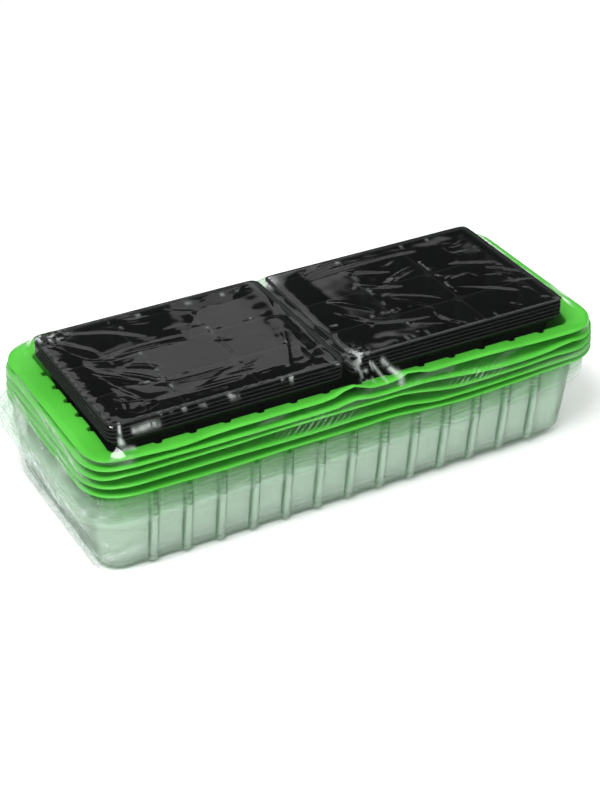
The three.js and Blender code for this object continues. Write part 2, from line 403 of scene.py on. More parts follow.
def cell_edge(mouth, span_x, span_y, centre, outer):
    """The mouth's points moved out to the edge of the cell's share of the divider plane, so that
    neighbours' edges meet. outer holds the insert's half sizes: its own corners are rounded."""
    rounding = INSERT["corner"] - INSERT["flange"]
    edge = []
    for x, y in mouth:
        side_x, side_y = span_x[int(x > centre[0])], span_y[int(y > centre[1])]
        past_x = abs(x - centre[0]) - (HALF_CELL_X - CELL_CORNER)
        past_y = abs(y - centre[1]) - (HALF_CELL_Y - CELL_CORNER)
        angle = math.atan2(past_y, past_x)
        if (abs(side_x), abs(side_y)) == outer and min(past_x, past_y) > TINY:
            inward_x = math.copysign(rounding * (1 - math.cos(angle)), side_x)
            inward_y = math.copysign(rounding * (1 - math.sin(angle)), side_y)
            edge.append((side_x - inward_x, side_y - inward_y))
        elif abs(angle - math.pi / 4) < TINY:
            edge.append((side_x, side_y))
        elif angle > math.pi / 4:
            edge.append((x, side_y))
        else:
            edge.append((side_x, y))
    return np.array(edge)


def cell_rings(span_x, span_y, centre, depth, outer):
    """Rings of one cell, from the edge of its share of the divider plane down to its drain hole."""
    top = depth - INSERT["recess"]
    fall = top * INSERT["draft"]

    def level(points, z):
        return columns(points, np.full(len(points), z))

    mouth = rounded_loop(centre, HALF_CELL_X, HALF_CELL_Y, CELL_CORNER)
    rings = [level(cell_edge(mouth, span_x, span_y, centre, outer), top), level(mouth, top)]
    # the wall and the floor: inset, z and corner radius
    pocket = [(0.25, top - 0.5, 5.8), (fall * 0.5, top * 0.5, 5.4), (fall - 0.5, 3.2, 5.0)]
    pocket += [(fall + 0.3, 1.3, 4.6), (fall + 1.6, 0.45, 4.2), (fall + 3.5, DRAIN_Z, 3.5)]
    for inset, z, radius in pocket:
        rings.append(level(rounded_loop(centre, HALF_CELL_X - inset, HALF_CELL_Y - inset, radius), z))
    bearing = np.arctan2(mouth[:, 1] - centre[1], mouth[:, 0] - centre[0])
    drain = centre + DRAIN_RADIUS * columns(np.cos(bearing), np.sin(bearing))
    return rings + [level(drain, DRAIN_Z)]


def insert_sheet(width, length, depth):
    """The insert's upper side as a bpy mesh in metres, centred, with its foot at z = 0: nine cells
    welded together, then the recess wall, the flange and its lip drawn out from their edge."""
    step_in = INSERT["flange"] + INSERT["recess"] * INSERT["draft"]
    foot = width / 2 - step_in, length / 2 - step_in
    lines_x = [-foot[0], -PITCH_X / 2, PITCH_X / 2, foot[0]]
    lines_y = [-foot[1], -PITCH_Y / 2, PITCH_Y / 2, foot[1]]
    cells, faces = [], []
    for column in range(CELLS_EACH_WAY):
        for row in range(CELLS_EACH_WAY):
            centre = (column - 1) * PITCH_X, (row - 1) * PITCH_Y
            spans = lines_x[column : column + 2], lines_y[row : row + 2]
            rings = cell_rings(*spans, centre, depth, foot)
            points, quads = loft(rings, cap_first=False, cap_last=False)
            first = len(cells) * len(points)
            cells.append(points)
            faces += [tuple(first + k for k in quad) for quad in quads]
    mesh = bpy.data.meshes.new("insert")
    mesh.from_pydata(np.vstack(cells).tolist(), [], faces)
    bm = bmesh.new()
    bm.from_mesh(mesh)
    bmesh.ops.remove_doubles(bm, verts=bm.verts, dist=0.02)
    top = depth - INSERT["recess"]
    loop = [e for e in bm.edges if e.is_boundary and all(abs(v.co.z - top) < 0.01 for v in e.verts)]
    corner = INSERT["corner"] - INSERT["flange"]
    straight = np.array(foot) - corner
    # distance out and z
    steps = [(0.15, top + 0.4), (0.55, depth - 0.7), (0.9, depth - 0.12), (1.4, depth)]
    steps += [(3.6, depth), (4.05, depth), (4.35, depth - 0.12), (4.4, depth - 0.5)]
    for reach, z in steps:
        made = bmesh.ops.extrude_edge_only(bm, edges=loop)["geom"]
        for v in (g for g in made if isinstance(g, bmesh.types.BMVert)):
            place = np.array(v.co.xy)
            base = np.clip(place, -straight, straight)
            size = np.linalg.norm(place - base)
            if size > TINY:
                v.co.xy = base + (place - base) / size * (corner + reach)
            v.co.z = z
        loop = [g for g in made if isinstance(g, bmesh.types.BMEdge)]
    bmesh.ops.scale(bm, vec=(MM, MM, MM), verts=bm.verts)
    bmesh.ops.recalc_face_normals(bm, faces=bm.faces)
    bm.to_mesh(mesh)
    bm.free()
    return mesh


# ---- film ----

FILM_AIR = 0.25  # between the film and the edges it lies on
FILM_STEP = 1.14  # spacing of the grid over the stacks
SKIRT_STEP = 0.9  # between rows down the side
WEB_STEP = 1.5  # along the lower web
SLOPE_ROWS, WEB_ROWS = 16, 36
LID_X, LID_Y = RIGHT + FILM_AIR, BACK + FILM_AIR  # half size of the film over the stacks
LID_CORNER = INSERT["corner"] + FILM_AIR
STACK_MIDDLES = (LEFT - GAP / 2) / 2, (RIGHT + GAP / 2) / 2

# Creases over the stacks: from, to, half width, height and sideways bow, from the stacks' middle.
CREASES = [
    # fanning from the knot at the back left
    ((-174, 56), (-140, 22), 2.6, 0.55, 3),
    ((-174, 50), (-146, 14), 2.0, -0.45, 2),
    ((-172, 46), (-150, 20), 1.6, 0.4, 1),
    ((-170, 40), (-138, 12), 1.9, 0.5, -2),
    ((-172, 34), (-150, 0), 1.8, -0.4, 2),
    ((-160, 56), (-100, 26), 3.2, 0.6, 4),
    # over the left stack
    ((-156, 22), (-118, 16), 5.0, 0.95, -4),
    ((-132, 20), (-80, 15), 2.2, -0.5, 3),
    ((-146, 2), (-112, -34), 2.4, 0.5, 3),
    ((-152, -4), (-128, -48), 2.6, -0.6, -3),
    ((-128, -24), (-66, -28), 2.0, 0.6, -4),
    ((-92, 34), (-62, 30), 1.8, 0.4, 1),
    ((-152, 23), (-81, 27), 2.6, -0.6, 3),
    ((-166, -28), (-118, -40), 3.2, -0.7, -3),
    ((-163, 17), (-130, -17), 1.8, 0.6, -3),
    ((-134, 5), (-112, -10), 2.2, 0.6, 3),
    ((-112, -44), (-60, -48), 2.4, 0.6, 2),
    ((-66, 8), (-52, 2), 2.0, 0.35, 0),
    # slanting down to the gap
    ((-2, 46), (-13, 14), 2.0, -0.5, 1),
    ((-18, 10), (-40, -52), 3.0, 0.85, 4),
    ((-8, 8), (-12, -64), 3.6, -1.0, -5),
    ((-24, -28), (-28, -62), 4.2, 0.9, 2),
    # over the right stack
    ((30, 52), (64, 60), 2.6, 0.5, 2),
    ((20, 46), (120, 50), 1.5, 0.35, 3),
    ((54, 43), (92, 30), 2.6, 0.6, 2),
    ((56, 25), (90, 8), 2.4, 0.6, -2),
    ((74, 12), (112, 28), 2.6, 0.6, 2),
    ((26, 12), (52, -16), 2.8, 0.75, 3),
    ((18, -2), (38, -32), 2.2, -0.6, 2),
    ((24, -18), (88, -38), 2.4, 0.45, -5),
    ((66, 2), (104, -24), 1.6, 0.45, 4),
    ((66, -3), (88, -34), 1.6, -0.45, 2),
    ((62, -42), (86, -53), 2.6, 0.6, 0),
    ((86, -34), (102, -64), 2.2, 0.6, -4),
    ((122, 24), (168, 4), 2.4, 0.4, 3),
    ((112, -8), (160, -40), 2.2, 0.4, 3),
]


# Small creases scattered over the stacks: how many, region in x and y, headings, lengths, half
# widths and heights.
SMALL_FOLDS = [
    (22, ((LEFT + 3, LEFT + 26), (-40, 30)), (-60, -15), (12, 30), (0.9, 1.7), (0.14, 0.34)),
    (22, ((LEFT + 8, LEFT + 40), (FRONT + 4, FRONT + 16)), (30, 80), (8, 22), (0.8, 1.5), (0.14, 0.34)),
    (14, ((-120, -4), (BACK - 12, BACK - 3)), (-25, 15), (10, 30), (0.8, 1.6), (0.12, 0.28)),
    (26, ((60, RIGHT - 10), (FRONT + 8, BACK - 12)), (-50, 20), (14, 40), (1.2, 2.6), (0.1, 0.28)),
    (22, ((RIGHT - 40, RIGHT - 4), (-50, 50)), (-80, -20), (10, 24), (0.8, 1.6), (0.12, 0.3)),
    (16, ((-30, 4), (FRONT + 3, FRONT + 14)), (75, 105), (8, 20), (0.8, 1.5), (0.15, 0.4)),
    (10, ((-110, -20), (-52, -34)), (-10, 25), (20, 50), (1.4, 2.6), (0.2, 0.4)),
]

# Marks painted on the film, mostly painted highlights (flare, glare, glints, blades) and one pale
# bridge: from, to, half width and strength, from the stacks' middle.
GLINT_AND_BRIDGE_MARKS = [
    # at the front left corner of the stack: a forked flare, a patch and the glare beside it
    ((-168, -64), (-171, -75), 0.8, 0.85),
    ((-171, -75), (-182, -77), 0.7, 0.7),
    ((-171, -75), (-163, -76), 1.0, 0.4),
    ((-160, -68.5), (-142, -68.5), 1.1, 0.6),
    ((-176, -79), (-170, -82), 3.4, 0.22),
    # small glints along the front edge
    ((-112, -66.5), (-108, -67), 0.6, 0.4),
    ((-88, -66.5), (-86, -67), 0.5, 0.4),
    # painted highlight blades beside the gap's front end
    ((24, -70), (30, -78), 1.5, 0.75),
    ((30, -78), (34, -87), 1.9, 0.6),
    ((16, -70), (21, -80), 0.8, 0.5),
    # the pale bridge over the gap's back end
    ((2, 58), (2, 84), 6.5, 0.9),
]


def from_line(x, y, start, end):
    """The line's length, how far along it each point is as a share of that, and how far beside it."""
    ax, ay = end[0] - start[0], end[1] - start[1]
    run = math.hypot(ax, ay)
    along = ((x - start[0]) * ax + (y - start[1]) * ay) / run**2
    return run, along, ((y - start[1]) * ax - (x - start[0]) * ay) / run


def crease(x, y, start, end, width, height, bow):
    """A ridge, or a valley where height is below 0, from one place to another, dying out at both."""
    run, along, away = from_line(x, y, start, end)
    inside = np.clip(along, 0, 1)
    away = away - 4 * bow * inside * (1 - inside) - 0.3 * width * noise(along * 4 + run, run, 5)
    fade = np.where((along > 0) & (along < 1), np.sin(math.pi * inside) ** 0.7, 0)
    return height * fade * np.exp(-((away / width) ** 2))


def small_folds(x, y, seed, count, region, heading, length, width, height):
    """Adds up small creases scattered over a region, all heading about the same way."""
    rng = np.random.default_rng(seed)
    total = np.zeros_like(x)
    for _ in range(count):
        start = rng.uniform(*region[0]), rng.uniform(*region[1])
        angle = math.radians(rng.uniform(*heading))
        run = rng.uniform(*length)
        end = start[0] + run * math.cos(angle), start[1] + run * math.sin(angle)
        tall = rng.uniform(*height) * rng.choice((-1, 1))
        total += crease(x, y, start, end, rng.uniform(*width), tall, rng.uniform(-0.1, 0.1) * run)
    return total


def film_sag(x, y):
    """How deep the film hangs into the inserts' recesses: deep on the left, shallow on the right."""
    left, right = STACK_MIDDLES
    back_ramp = 14 + 32 * smooth(-172, -150, x) * smooth(-52, -84, x)
    up_ramp = np.clip((y - BACK + 1 + back_ramp) / back_ramp, 0, 1)
    up_ramp = 0.55 * up_ramp + 0.45 * up_ramp**2
    deep = 3.2 + 1.1 * smooth(-40, -100, x)
    sag = deep * smooth(84, 60, np.abs(x - left)) * smooth(-64, -44, y) * (1 - up_ramp)
    shallow = 1.3 * smooth(84, 56, np.abs(x - right)) * smooth(-64, -40, y) * smooth(64, 44, y)
    return sag + shallow


def divider_ridges(x, y):
    """Short broken ridges where the film lies on the inserts' dividers."""
    total = np.zeros_like(x)
    for middle in STACK_MIDDLES:
        for side in (-1, 1):
            line = middle + side * PITCH_X / 2
            broken = smooth(0.25, 0.5, noise(line, y / 4.5, 31))
            total += bump(line, 0.9, x) * broken * smooth(60, 54, np.abs(y))
            across = side * PITCH_Y / 2
            broken = smooth(0.25, 0.5, noise(x / 5, across, 37))
            total += bump(across, 0.9, y) * broken * smooth(80, 74, np.abs(x - middle))
    return total


def crumple(x, y, size, seed):
    """Sharp random facets, as in crushed film, about size across."""
    coarse = np.abs(noise(x / size, y / size, seed))
    fine = np.abs(noise(2.1 * x / size, 2.1 * y / size, seed + 1))
    return 1.5 - 2.2 * coarse - 1.1 * fine


def knots(x, y):
    """Share of crushing near the two knots: at the back left corner and at the front of the gap."""
    at_corner = np.exp(-(((x - LEFT - 7) / 11) ** 2) - ((y - BACK + 5) / 8) ** 2)
    at_gap = np.exp(-(((x - 9) / 6) ** 2) - ((y - FRONT) / 10) ** 2)
    return at_corner + at_gap


def film_top_height(x, y):
    """Height of the film over the black stacks. x and y are from the stacks' middle."""
    z = -film_sag(x, y)
    z -= bump(-1, 4.5, x) * (1.3 + 0.5 * noise(y / 14, 0, 41))
    z += 0.28 * divider_ridges(x, y)
    z += 0.16 * noise(x / 30 + 3, y / 22, 51) + 0.05 * noise(x / 9 + 0.4 * y / 9, y / 7, 52)
    for line in CREASES:
        z += crease(x, y, *line)
    for seed, (count, region, heading, length, width, height) in enumerate(SMALL_FOLDS, 61):
        z += small_folds(x, y, seed, count, region, heading, length, width, height)
    along_front = smooth(FRONT + 13, FRONT + 3, y) * smooth(-0.25, 0.3, noise(x / 26, 0, 72))
    z += 0.24 * along_front * noise(x / 2.3, y / 12, 71)
    at_ends = np.maximum(smooth(LEFT + 12, LEFT + 3, x), smooth(RIGHT - 12, RIGHT - 3, x))
    z += 0.14 * at_ends * noise(x / 10, y / 2.5, 73)
    return z + 0.9 * knots(x, y) * crumple(x, y, 3.2, 74)


def film_grid():
    """The film over the stacks as a grid with rounded corners: points, and the order of its edge."""
    nx, ny = round(2 * LID_X / FILM_STEP), round(2 * LID_Y / FILM_STEP)
    gx, gy = np.meshgrid(np.linspace(-LID_X, LID_X, nx + 1), np.linspace(-LID_Y, LID_Y, ny + 1))
    over_x = np.maximum(np.abs(gx) - (LID_X - LID_CORNER), 0)
    over_y = np.maximum(np.abs(gy) - (LID_Y - LID_CORNER), 0)
    size = np.hypot(over_x, over_y)
    shrink = np.where(size > 1e-9, np.maximum(over_x, over_y) / np.maximum(size, 1e-9), 1)
    x = np.sign(gx) * (np.abs(gx) - over_x * (1 - shrink))
    y = np.sign(gy) * (np.abs(gy) - over_y * (1 - shrink))
    index = np.arange((nx + 1) * (ny + 1)).reshape(ny + 1, nx + 1)
    edge = np.concatenate([index[:-1, -1], index[-1, :0:-1], index[:0:-1, 0], index[0, :-1]])
    return x, y, index, edge


RIMS = [f"{kind}_{number}" for kind in ("tray", "dome") for number in range(PIECES, 0, -1)]  # top first


def rim_drawn(name):
    kind, number = name.split("_")
    return DRAWN_IN[int(number) - 1] if kind == "tray" else 0.0


def rim_place(name, spine, out):
    """The film's loop round a rim."""
    reach = CORNER + FILM_AIR - rim_drawn(name)
    return spine + out * reach + (middle_x(name), 0)


def rim_lift(name, x, y):
    kind, number = name.split("_")
    lift = tray_lift if kind == "tray" else dome_lift
    return lift(int(number))(x, y, 1.0)


def film_side_rows(weld):
    """Rows down the film's side from the top tray's rim to the weld: level, the rims it hangs
    between, and how far it is from the upper one to the lower one."""
    rims = [(name, frame_box(name)[1][2]) for name in RIMS]
    rows = []
    for (name, z), (below, next_z) in zip(rims, rims[1:]):
        steps = max(4, round((z - next_z) / SKIRT_STEP))
        rows += [(z + (next_z - z) * k / steps, name, below, k / steps) for k in range(steps)]
    lowest, z = rims[-1]
    rows += [(z + (weld - z) * k / 2, lowest, lowest, 0.0) for k in range(3)]
    return rows


def left_end(x):
    """1 where the film is gathered and crushed at the pack's left end, 0 elsewhere."""
    return smooth(-150, -192, x)


def film_slope(lid_edge, edge_z, rim_edge, rim_z, out, around):
    """Rings from the stacks' top edge out to the top tray's rim: taut, pleated at the top."""
    rings = []
    near = knots(lid_edge[:, 0] - STACK_X, lid_edge[:, 1] - STACK_Y)
    corner = smooth(-135, -165, rim_edge[:, 0]) * smooth(-40, -70, rim_edge[:, 1])
    for t in np.arange(1, SLOPE_ROWS) / SLOPE_ROWS:
        place = blend(lid_edge, rim_edge, t)
        height = blend(edge_z, rim_z, t)
        hang = math.sin(math.pi * t)
        pleat = 0.22 * noise(around / 2.6, t * 0.8, 81) * (1 - t) ** 2
        pleat = pleat + 0.5 * noise(around / 16, t * 1.6, 82) * hang
        pleat = pleat + 1.1 * near * (1 - t) * crumple(around, t * 18, 3.0, 83)
        pleat = pleat + 0.3 * np.sin(2 * math.pi * around / 3.6) * corner * smooth(0.45, 0.85, t)
        drop = 1.3 * hang - pleat
        place = place - out * (drop * 0.6)[:, None]
        rings.append(columns(place, height - drop * 0.8))
    return rings


def film_skirt(spine, out, around, weld):
    """Rings down past the rims: the film spans from edge to edge, with puckers and slanting folds."""
    rings = []
    for row_z, above, below, t in film_side_rows(weld):
        edge = blend(rim_place(above, spine, out), rim_place(below, spine, out), t)
        height = row_z + blend(rim_lift(above, *edge.T), rim_lift(below, *edge.T), t)
        between = math.sin(math.pi * t)
        puckers = smooth(0.0, 0.55, noise(around / 1.6, row_z / 9, 91))
        puckers = puckers * smooth(-0.1, 0.5, noise(around / 60, 0, 92)) * smooth(60, 72, row_z)
        slanting = noise((around + 1.1 * row_z) / 5.0, (around - row_z) / 70, 93)
        crushed = left_end(edge[:, 0]) * smooth(92, 66, row_z) * crumple(around, row_z, 5.0, 94)
        inward = between * (0.3 + 0.6 * puckers) + 0.08 * slanting - 0.3 * np.abs(crushed)
        rings.append(columns(edge - out * np.maximum(inward, -0.9)[:, None], height))
    return rings


def hood_film():
    """The upper web: the grid over the stacks, the slopes to the top rim, and the skirt."""
    gx, gy, index, edge = film_grid()
    inside = smooth(0, 2.4, np.minimum(LID_X - np.abs(gx), LID_Y - np.abs(gy)))
    z = STACK_TOP + FILM_AIR + film_top_height(gx, gy) - 0.5 * (1 - inside)
    vertices = [columns((gx + STACK_X).ravel(), (gy + STACK_Y).ravel(), z.ravel())]
    corners = index[:-1, :-1], index[:-1, 1:], index[1:, 1:], index[1:, :-1]
    faces = columns(*(q.ravel() for q in corners)).tolist()

    lid = columns(gx.ravel()[edge], gy.ravel()[edge])
    straight = np.array((LID_X, LID_Y)) - LID_CORNER
    base = np.clip(lid, -straight, straight)
    out = (lid - base) / np.linalg.norm(lid - base, axis=1)[:, None]
    spine = base / straight * (SPINE_X, SPINE_Y)
    rim_edge = rim_place(TOP_TRAY, spine, out)
    around = run_round(rim_edge)
    rim_z = TOP_RIM + FILM_AIR + rim_lift(TOP_TRAY, *rim_edge.T)
    lid_edge = lid + (STACK_X, STACK_Y)
    rings = film_slope(lid_edge, z.ravel()[edge], rim_edge, rim_z, out, around)
    rings += film_skirt(spine, out, around, frame_box("film_upper")[0][2])

    start = len(vertices[0])
    count = len(edge)
    for i in range(count):
        j = (i + 1) % count
        faces.append((int(edge[j]), int(edge[i]), start + i, start + j))
    faces += [tuple(q[::-1]) for q in loft_faces(len(rings), count, start)]
    return np.vstack(vertices + rings), faces


# Heights between which each of the film's looks fades in.
ON_TOP = (88, 91)  # painted highlights and whitening over the stacks
VEIL = (91, 82)  # streaks at the left end, over the rims
DENSE_VEIL = (60, 68)  # and thicker from the trays' rims up
CRUSHED = (66, 50)  # crushed patches at the left end
RIGHT_VEIL = (84, 77), (56, 62)  # streaks at the right end, between two heights


def mark(x, y, start, end, width):
    """1 along a line and 0 away from it."""
    run, along, away = from_line(x, y, start, end)
    past = (along - np.clip(along, 0, 1)) * run
    return np.exp(-((np.hypot(past, away) / width) ** 2))


def top_milk(x, y):
    """Painted highlights and whitening over the stacks: glinting dashes on the dividers, spots along
    the back edge, comb ticks of glints along the front edge, the knots and the marks. x and y are from
    the stacks' middle."""
    # the dashes and ticks are painted highlights: glints where the film lies on edges
    dashes = 0.30 * divider_ridges(x, y) * smooth(0.1, 0.6, noise(x / 3, y / 3, 112))
    spots = 0.30 * bump(BACK - 7, 1.5, y) * smooth(0.45, 0.8, noise(x / 5.5, 0, 113))
    ticks = bump(FRONT - 0.5, 1.6, y) * smooth(0.3, 0.7, noise(x / 1.9, y / 9, 114))
    ticks = 0.6 * ticks * smooth(-0.2, 0.3, noise(x / 22, 0, 115)) * (x < 0)
    # white at the knots: crushed film, partly painted highlight
    knotted = np.clip(knots(x, y), 0, 1) * smooth(0.05, 0.5, noise(x / 2.4, y / 2.4, 116))
    total = np.maximum.reduce([dashes, spots, ticks, 0.9 * knotted])
    for start, end, width, strength in GLINT_AND_BRIDGE_MARKS:
        broken = smooth(-1.1, -0.2, noise(x / 2.2, y / 2.2, 117))
        total = np.maximum(total, strength * mark(x, y, start, end, width) * broken)
    return total


def film_milk(vertices):
    """How white the film is at each point: most at its knots, and in patches at the left end. Over the
    stacks and in combs under the top rims this white is painted highlight standing in for glints.
    """
    x, y, z = np.asarray(vertices).T
    on_top = top_milk(x - STACK_X, y - STACK_Y) * smooth(*ON_TOP, z)
    patches = smooth(0.0, 0.7, noise(y / 13, z / 9, 111))
    patches = patches * smooth(-0.2, 0.6, noise(y / 4, (z + y) / 4, 118))
    streaks = smooth(0.0, 0.6, noise((z - 0.15 * y) / 2.6, y / 34, 121))
    veil = left_end(x) * smooth(*VEIL, z) * (0.06 + 0.14 * smooth(*DENSE_VEIL, z) + 0.42 * streaks)
    veil = veil * smooth(-80, -56, y)
    crushed = veil + left_end(x) * smooth(*CRUSHED, z) * 0.5 * patches
    # combs of painted highlights under the top rims, standing in for glints on the film's puckers
    band = bump(81, 6, z) * (bump(86, 30, x) + bump(-38, 26, x)) * (y < 0)
    teeth = np.sin(2 * math.pi * (x - 0.8 * z) / 5.2) + 0.6 * noise(x / 4, z / 4, 119)
    combs = 0.4 * band * smooth(0.1, 1.0, teeth)
    at_right = smooth(110, 185, x) * (0.06 + 0.2 * streaks)
    for fade in RIGHT_VEIL:
        at_right = at_right * smooth(*fade, z)
    return np.clip(np.maximum.reduce([on_top, crushed, combs, at_right]), 0, 0.95)


def film_shine(vertices):
    """How strongly the film mirrors: fully over the stacks, in patches where it hangs at the sides."""
    x, y, z = np.asarray(vertices).T
    on_top = smooth(STACK_TOP - 9, STACK_TOP - 5, z)
    patches = smooth(0.25, 0.7, noise((x + y) / 26, (z - 0.3 * x) / 7, 120)) * smooth(44, 62, z)
    high = np.maximum(smooth(84, 90, z), smooth(66, 60, z))
    return np.maximum(on_top, 0.04 + (0.03 + 0.47 * high) * patches)


def run_round(edge):
    """The length of a closed loop up to the end of each of its steps."""
    return np.cumsum(np.linalg.norm(np.roll(edge, -1, axis=0) - edge, axis=1))


def dense_loop(step):
    """The spine's loop again, with its points evenly spaced."""
    spine, outward = spine_loop(DOME["rib_width"], None, None, 16)[:2]
    edge = spine + outward * CORNER
    points = []
    for i in range(len(spine)):
        j = (i + 1) % len(spine)
        steps = max(1, round(np.linalg.norm(edge[j] - edge[i]) / step))
        for t in np.arange(steps) / steps:
            out = blend(outward[i], outward[j], t)
            points.append((*blend(spine[i], spine[j], t), *(out / np.linalg.norm(out))))
    points = np.array(points)
    return points[:, :2], points[:, 2:]


def web_film():
    """The lower web: from the weld in to the lowest dome's foot and across under it. It spans
    straight to the foot, but lies against the dome at the ends."""
    weld = frame_box("film_lower")[1][2]
    low, high = frame_box("dome_1")
    centre = middle_x("dome_1")
    fall = DRAFT * (high[2] - low[2])
    foot_inset = DOME["flange"] + fall - DOME["rib_depth"]
    spine, outward = dense_loop(WEB_STEP)
    edge = spine + outward * CORNER
    x, y = edge.T
    around = run_round(edge)
    rise = rim_lift("dome_1", x + centre, y)
    bow = dome_bow(1, x + centre)
    at_ends = np.maximum(smooth(120, 175, x), 0.8 * smooth(-120, -175, x))

    def ring(inset, draw, z):
        place = ends_in(spine, draw) + outward * (CORNER - np.reshape(inset, (-1, 1)))
        return columns(place + (centre, 0), z)

    rings = []
    for t in np.arange(WEB_ROWS + 1) / WEB_ROWS:
        z = blend(weld + rise, 0.7 + bow, t)
        crushed = left_end(x) * smooth(0, 0.2, t) * crumple(around, t * 42, 5.0, 101)
        streak = 0.2 * noise((around + z) / 9, t, 102)
        spanning = foot_inset * t - 0.25 + 0.5 * math.sin(math.pi * t)
        hugging = blend(DOME["flange"] - 0.5, foot_inset, t) * smooth(0, 0.12, t)
        inset = blend(spanning, hugging, at_ends)
        draw = end_draw(DOME, DOME["flange"]) * min(4 * t, 1)
        rings.append(ring(inset - streak * 0.5 - 0.25 * np.abs(crushed), draw, z))
    for inset, z in ((foot_inset + 0.8, 0.35), (foot_inset + 3, 0.15), (foot_inset + 12, 0.15)):
        rings.append(ring(np.full(len(spine), inset), draw, z + bow))
    vertices, faces = loft(rings, cap_first=False, cap_last=True)
    return vertices, [tuple(f[::-1]) for f in faces]


# ---- materials ----


class Nodes:
    """A short way to write the nodes of a material or of the world."""

    def __init__(self, owner):
        self.owner = owner
        owner.use_nodes = True
        self.tree = owner.node_tree
        self.tree.nodes.clear()

    def node(self, kind, settings=None, **inputs):
        made = self.tree.nodes.new("ShaderNode" + kind)
        for key, value in (settings or {}).items():
            setattr(made, key, value)
        for key, value in inputs.items():
            self.feed(made, key.replace("_", " "), value)
        return made

    def first(self, kind, **inputs):
        """The first output of a new node."""
        return self.node(kind, None, **inputs).outputs[0]

    def feed(self, node, key, value):
        socket = node.inputs[int(key)] if key.isdigit() else node.inputs[key]
        if isinstance(value, bpy.types.NodeSocket):
            self.tree.links.new(value, socket)
        else:
            socket.default_value = value

    def filled(self, kind, settings, *values):
        """A node with its first inputs filled in order."""
        made = self.node(kind, settings)
        for number, value in enumerate(values):
            self.feed(made, str(number), value)
        return made.outputs[0]

    def math(self, operation, a, b=0.0, c=0.5, clamp=False):
        return self.filled("Math", {"operation": operation, "use_clamp": clamp}, a, b, c)

    def mix(self, share, a, b):
        return self.filled("MixShader", None, share, a, b)

    def noise(self, scale, detail):
        place = self.node("TexCoord").outputs["Object"]
        return self.first("TexNoise", Vector=place, Scale=scale, Detail=detail, Roughness=0.5)

    def spread(self, value, low, high, to_low, to_high, kind="LINEAR"):
        settings = {"interpolation_type": kind}
        return self.filled("MapRange", settings, value, low, high, to_low, to_high)

    def number(self, quality):
        """A number that the piece holds at each vertex."""
        return self.node("Attribute", {"attribute_name": quality}).outputs["Fac"]

    def mirror(self, straight_on):
        """Share of light mirrored: a little straight on and all at grazing angles, on both sides."""
        slanting = self.math("MULTIPLY", self.math("POWER", self.facing(), 5.0), 1 - straight_on)
        return self.math("ADD", slanting, straight_on, clamp=True)

    def height(self):
        place = self.node("TexCoord").outputs["Object"]
        return self.node("SeparateXYZ", None, Vector=place).outputs[2]

    def facing(self):
        """0 where the surface is seen straight on, 1 where it is seen edge on."""
        return self.node("LayerWeight", None, Blend=0.5).outputs["Facing"]

    def colours(self, share, low, high):
        """A blend of two colours, each a triple or another node's colour."""
        made = self.node("Mix", {"data_type": "RGBA"})
        for key, value in zip("067", (share, low, high)):
            self.feed(made, key, (*value, 1) if isinstance(value, tuple) else value)
        return made.outputs[2]

    def surface(self, shader, output="OutputMaterial"):
        self.node(output, None, Surface=shader)
        return self.owner


def tray_material():
    """Bright green moulded sheet: satin, slightly let through by light, faintly uneven."""
    n = Nodes(bpy.data.materials.new("tray_green"))
    uneven = n.noise(38.0, 4.0)
    colour = n.colours(uneven, (0.070, 0.48, 0.034), (0.100, 0.58, 0.053))
    rough = n.spread(uneven, 0.3, 0.7, 0.30, 0.42)
    normal = n.first("Bump", Height=n.noise(900.0, 2.0), Strength=0.12, Distance=0.0004)
    body = n.first("BsdfPrincipled", Base_Color=colour, Roughness=rough, Normal=normal)
    return n.surface(n.mix(0.10, body, n.first("BsdfTranslucent", Color=colour)))


def insert_material():
    """Black recycled sheet: satin, with fine grain and paler scuffs, and a painted highlight that turns
    the lip's top edge grey.
    """
    n = Nodes(bpy.data.materials.new("insert_black"))
    patches = n.noise(60.0, 4.0)
    sheet = n.colours(patches, (0.004, 0.0042, 0.0046), (0.009, 0.0093, 0.0100))
    # painted highlight: the lip's top edge is made grey
    lip_highlight = n.spread(n.height(), 0.0523, 0.0529, 0.0, 1.0)
    look = dict(
        Base_Color=n.colours(lip_highlight, sheet, (0.020, 0.021, 0.021)),
        Roughness=n.spread(patches, 0.3, 0.7, 0.34, 0.5),
        Normal=n.first("Bump", Height=n.noise(650.0, 3.0), Strength=0.18, Distance=0.0003),
        Specular_IOR_Level=0.15,
    )
    return n.surface(n.first("BsdfPrincipled", **look))


def dome_material():
    """Thin clear sheet, faintly green, with painted shade where it is seen edge on and at the ribs'
    feet, standing in for the dark lines that refraction and dark reflections draw there, and milky low
    down in the wall. A per-vertex attribute made in formed_shell says where the ribs' feet are."""
    n = Nodes(bpy.data.materials.new("dome_clear"))
    # painted shade: the sheet is darker where it is seen edge on
    edge_on_shade = n.spread(n.facing(), 0.45, 0.92, 0.0, 1.0)
    # painted shade at the ribs' feet
    rib_foot_shade = n.number("rib_foot_shade")
    tint = n.colours(edge_on_shade, (0.984, 0.996, 0.986), (0.58, 0.70, 0.60))
    tint = n.colours(rib_foot_shade, tint, (0.86, 0.94, 0.88))
    milky = n.colours(n.noise(24.0, 3.0), (0.83, 0.96, 0.85), (0.90, 1.0, 0.92))
    milky = n.colours(n.math("MAXIMUM", edge_on_shade, rib_foot_shade), milky, (0.26, 0.37, 0.27))
    haze = n.mix(0.7, n.first("BsdfTranslucent", Color=milky), n.first("BsdfDiffuse", Color=milky))
    share = n.spread(n.height(), 0.038, 0.047, 0.17, 0.05)
    body = n.mix(share, n.first("BsdfTransparent", Color=tint), haze)
    gloss = n.first("BsdfGlossy", Color=(1, 1, 1, 1), Roughness=0.14)
    return n.surface(n.mix(n.math("MULTIPLY", n.mirror(0.03), 0.5), body, gloss))


